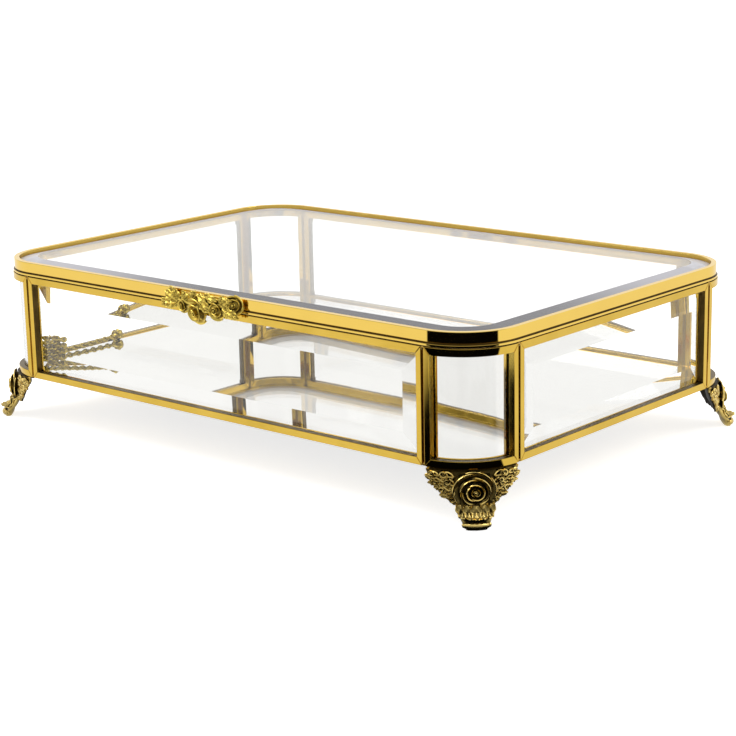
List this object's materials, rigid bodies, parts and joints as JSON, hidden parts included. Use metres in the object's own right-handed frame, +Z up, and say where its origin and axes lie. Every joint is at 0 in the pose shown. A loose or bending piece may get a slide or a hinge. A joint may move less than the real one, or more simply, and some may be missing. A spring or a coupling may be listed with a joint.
{
  "type": "glass casket box",
  "caption": "Low glass casket with brass-framed bevelled panes, rounded corners, mirror base, cast feet and a hinged glass lid held by a chain.",
  "frame": {"origin": "middle of the object's outline at the level of the foot soles", "axes": "+X along the long side to the right, -Y towards the front with the rose lift, +Z up"},
  "size_m": [0.305, 0.2144, 0.0816],
  "materials": {
    "polished_brass": "polished gold-plated brass",
    "cast_brass": "cast, gold-plated, dark in the recesses",
    "chain_brass": "bright chain",
    "solder": "plated solder seam",
    "glass": "clear bevelled glass",
    "mirror": "silvered glass with a painted back"
  },
  "bodies": {
    "case": {"front_frame": "polished_brass", "right_frame": "polished_brass", "back_frame": "polished_brass", "left_frame": "polished_brass", "right_back_corner_frame": "polished_brass", "left_back_corner_frame": "polished_brass", "left_front_corner_frame": "polished_brass", "right_front_corner_frame": "polished_brass", "front_pane": "glass", "right_pane": "glass", "back_pane": "glass", "left_pane": "glass", "right_back_corner_pane": "glass", "left_back_corner_pane": "glass", "left_front_corner_pane": "glass", "right_front_corner_pane": "glass", "seam_strips": "solder", "mirror_ledge": "polished_brass", "mirror_base": "mirror", "right_back_foot": "cast_brass", "left_back_foot": "cast_brass", "left_front_foot": "cast_brass", "right_front_foot": "cast_brass", "left_hinge_body_leaf": "polished_brass", "right_hinge_body_leaf": "polished_brass", "left_hinge_pin": "polished_brass", "right_hinge_pin": "polished_brass", "chain_anchor": "chain_brass"},
    "lid": {"lid_rim": "polished_brass", "lid_pane": "glass", "rose_lift": "cast_brass", "left_hinge_lid_leaf": "polished_brass", "right_hinge_lid_leaf": "polished_brass", "chain_lid_tab": "chain_brass"},
    "chain_01": {"chain_run_01": "chain_brass"},
    "chain_02": {"chain_run_02": "chain_brass"},
    "chain_03": {"chain_run_03": "chain_brass"},
    "chain_04": {"chain_run_04": "chain_brass"},
    "chain_05": {"chain_run_05": "chain_brass"},
    "chain_06": {"chain_run_06": "chain_brass"},
    "chain_07": {"chain_run_07": "chain_brass"},
    "chain_08": {"chain_run_08": "chain_brass"},
    "chain_09": {"chain_run_09": "chain_brass"},
    "chain_10": {"chain_run_10": "chain_brass"},
    "chain_11": {"chain_run_11": "chain_brass"},
    "chain_12": {"chain_run_12": "chain_brass"},
    "chain_13": {"chain_run_13": "chain_brass"},
    "chain_14": {"chain_run_14": "chain_brass"},
    "chain_15": {"chain_run_15": "chain_brass"},
    "chain_16": {"chain_run_16": "chain_brass"},
    "chain_17": {"chain_run_17": "chain_brass"},
    "chain_18": {"chain_run_18": "chain_brass"}
  },
  "joints": [
    {"name": "lid_hinge", "type": "hinge", "parent": "case", "child": "lid", "pos_m": [0, 0.10502, 0.0732], "axis": [-1, 0, 0], "range_deg": [0, 97], "deforming": ["chain_run_01", "chain_run_02", "chain_run_03", "chain_run_04", "chain_run_05", "chain_run_06", "chain_run_07", "chain_run_08", "chain_run_09", "chain_run_10", "chain_run_11", "chain_run_12", "chain_run_13", "chain_run_14", "chain_run_15", "chain_run_16", "chain_run_17", "chain_run_18"]},
    {"name": "chain_swing_01", "type": "hinge", "parent": "case", "child": "chain_01", "pos_m": [-0.141, -0.02788, 0.02745], "axis": [-0.9946, -0.0709, 0.0764], "range_deg": [0, 123.67]},
    {"name": "chain_swing_02", "type": "hinge", "parent": "case", "child": "chain_02", "pos_m": [-0.14009, -0.03321, 0.03707], "axis": [-0.0085, 0.486, -0.8739], "range_deg": [0, 178.94]},
    {"name": "chain_swing_03", "type": "hinge", "parent": "case", "child": "chain_03", "pos_m": [-0.14166, -0.03677, 0.0435], "axis": [0.0085, -0.486, 0.8739], "range_deg": [0, 174.36]},
    {"name": "chain_swing_04", "type": "hinge", "parent": "case", "child": "chain_04", "pos_m": [-0.15259, -0.04017, 0.04949], "axis": [-0.0327, -0.4859, 0.8734], "range_deg": [0, 145.32]},
    {"name": "chain_swing_05", "type": "hinge", "parent": "case", "child": "chain_05", "pos_m": [-0.17904, -0.08248, 0.12235], "axis": [0.8648, -0.1919, 0.464], "range_deg": [0, 61.53]},
    {"name": "chain_swing_06", "type": "hinge", "parent": "case", "child": "chain_06", "pos_m": [-0.08374, -0.03426, 0.07709], "axis": [0.2584, 0.5919, -0.7635], "range_deg": [0, 95.38]},
    {"name": "chain_swing_07", "type": "hinge", "parent": "case", "child": "chain_07", "pos_m": [-0.17211, -0.0187, 0.0586], "axis": [-0.3996, -0.5604, 0.7254], "range_deg": [0, 121.58]},
    {"name": "chain_swing_08", "type": "hinge", "parent": "case", "child": "chain_08", "pos_m": [-0.18957, -0.10389, 0.17219], "axis": [0.9076, -0.2155, 0.3604], "range_deg": [0, 58]},
    {"name": "chain_swing_09", "type": "hinge", "parent": "case", "child": "chain_09", "pos_m": [-0.06411, -0.02016, 0.09367], "axis": [0.13, 0.6652, -0.7352], "range_deg": [0, 96.56]},
    {"name": "chain_swing_10", "type": "hinge", "parent": "lid", "child": "chain_10", "pos_m": [-0.00894, -0.03572, -0.05047], "axis": [-0.4992, -0.1634, -0.8509], "range_deg": [0, 43.64]},
    {"name": "chain_swing_11", "type": "hinge", "parent": "lid", "child": "chain_11", "pos_m": [-0.12591, -0.03049, 0.02452], "axis": [-0.2023, -0.1647, -0.9654], "range_deg": [0, 165.3]},
    {"name": "chain_swing_12", "type": "hinge", "parent": "lid", "child": "chain_12", "pos_m": [-0.17808, -0.0384, 0.01676], "axis": [-0.2929, 0.0981, 0.9511], "range_deg": [0, 83.61]},
    {"name": "chain_swing_13", "type": "hinge", "parent": "lid", "child": "chain_13", "pos_m": [-0.06684, -0.04658, -0.00333], "axis": [-0.4741, -0.0473, -0.8792], "range_deg": [0, 50.77]},
    {"name": "chain_swing_14", "type": "hinge", "parent": "lid", "child": "chain_14", "pos_m": [-0.13356, -0.05201, 0.03945], "axis": [0.7089, 0.0662, 0.7022], "range_deg": [0, 169.36]},
    {"name": "chain_swing_15", "type": "hinge", "parent": "lid", "child": "chain_15", "pos_m": [-0.15159, -0.05504, 0.03246], "axis": [-0.4585, -0.2063, 0.8644], "range_deg": [0, 90.84]},
    {"name": "chain_swing_16", "type": "hinge", "parent": "lid", "child": "chain_16", "pos_m": [-0.11427, -0.06185, 0.0339], "axis": [-0.5184, 0.3453, -0.7824], "range_deg": [0, 72.47]},
    {"name": "chain_swing_17", "type": "hinge", "parent": "lid", "child": "chain_17", "pos_m": [-0.13375, -0.08596, 0.06934], "axis": [0.9822, 0.1041, 0.1565], "range_deg": [0, 68.22]},
    {"name": "chain_swing_18", "type": "hinge", "parent": "lid", "child": "chain_18", "pos_m": [-0.13374, -0.08596, 0.06934], "axis": [0.9822, 0.1041, 0.1565], "range_deg": [0, 68.22]}
  ],
  "couplings": [
    {"joint": "chain_swing_01", "follows": "lid_hinge", "ratio": 1.2744},
    {"joint": "chain_swing_02", "follows": "lid_hinge", "ratio": 1.8443},
    {"joint": "chain_swing_03", "follows": "lid_hinge", "ratio": 1.797},
    {"joint": "chain_swing_04", "follows": "lid_hinge", "ratio": 1.4976},
    {"joint": "chain_swing_05", "follows": "lid_hinge", "ratio": 0.63379},
    {"joint": "chain_swing_06", "follows": "lid_hinge", "ratio": 0.98283},
    {"joint": "chain_swing_07", "follows": "lid_hinge", "ratio": 1.2529},
    {"joint": "chain_swing_08", "follows": "lid_hinge", "ratio": 0.59738},
    {"joint": "chain_swing_09", "follows": "lid_hinge", "ratio": 0.99497},
    {"joint": "chain_swing_10", "follows": "lid_hinge", "ratio": 0.44937},
    {"joint": "chain_swing_11", "follows": "lid_hinge", "ratio": 1.7037},
    {"joint": "chain_swing_12", "follows": "lid_hinge", "ratio": 0.8614},
    {"joint": "chain_swing_13", "follows": "lid_hinge", "ratio": 0.52284},
    {"joint": "chain_swing_14", "follows": "lid_hinge", "ratio": 1.7455},
    {"joint": "chain_swing_15", "follows": "lid_hinge", "ratio": 0.93603},
    {"joint": "chain_swing_16", "follows": "lid_hinge", "ratio": 0.74659},
    {"joint": "chain_swing_17", "follows": "lid_hinge", "ratio": 0.70278},
    {"joint": "chain_swing_18", "follows": "lid_hinge", "ratio": 0.70278}
  ]
}
